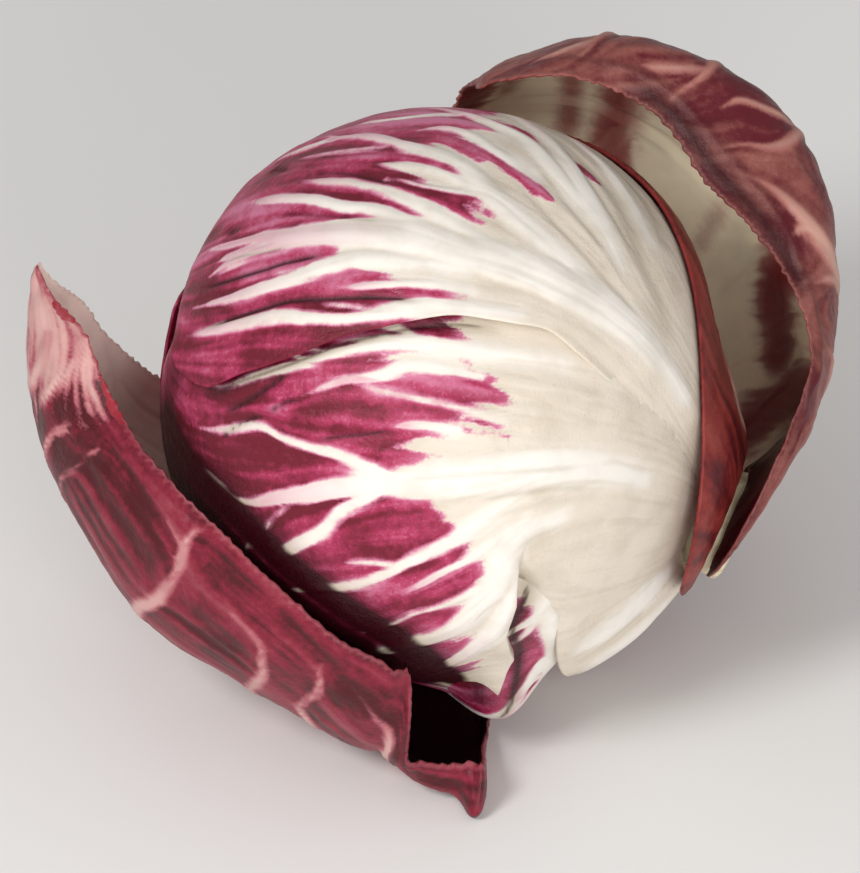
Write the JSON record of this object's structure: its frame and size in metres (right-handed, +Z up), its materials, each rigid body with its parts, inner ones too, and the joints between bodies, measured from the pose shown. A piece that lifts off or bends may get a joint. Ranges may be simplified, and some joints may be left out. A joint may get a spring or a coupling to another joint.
{
  "type": "radicchio head",
  "caption": "Round head of red radicchio lying on its side: tight wrapped leaves with white ribs, a cut stem, and loose curled outer leaves.",
  "frame": {"origin": "centre of the bounding box, on the surface that the head rests on", "axes": "+Z up; +X along the head's length, toward the stem end; -Y toward the front of the head"},
  "size_m": [0.1466, 0.1233, 0.1087],
  "materials": {
    "white_ribbed_leaf": "satin leaf, white ribs over purple",
    "purple_leaf": "satin leaf, purple with white ribs",
    "burgundy_leaf": "satin leaf, burgundy outside and cream inside",
    "inner_leaf": "satin leaf",
    "pale_heart": "moist pale leaf",
    "cut_stem": "matte cut plant core"
  },
  "bodies": {
    "root": {"stem": "cut_stem", "heart_bud": "pale_heart", "inner_leaf_1": "inner_leaf", "inner_leaf_2": "inner_leaf", "inner_leaf_3": "inner_leaf", "inner_leaf_4": "inner_leaf", "inner_leaf_5": "inner_leaf", "inner_leaf_6": "inner_leaf", "inner_leaf_7": "inner_leaf", "inner_leaf_8": "inner_leaf", "wrapper_under": "purple_leaf", "wrapper_upper": "white_ribbed_leaf", "wrapper_front": "white_ribbed_leaf", "wrapper_back": "purple_leaf", "wrapper_lower": "purple_leaf", "wrapper_rear_loose": "burgundy_leaf", "leaf_stub": "white_ribbed_leaf", "outer_leaf_rear": "burgundy_leaf", "outer_leaf_front": "burgundy_leaf"}
  },
  "joints": []
}
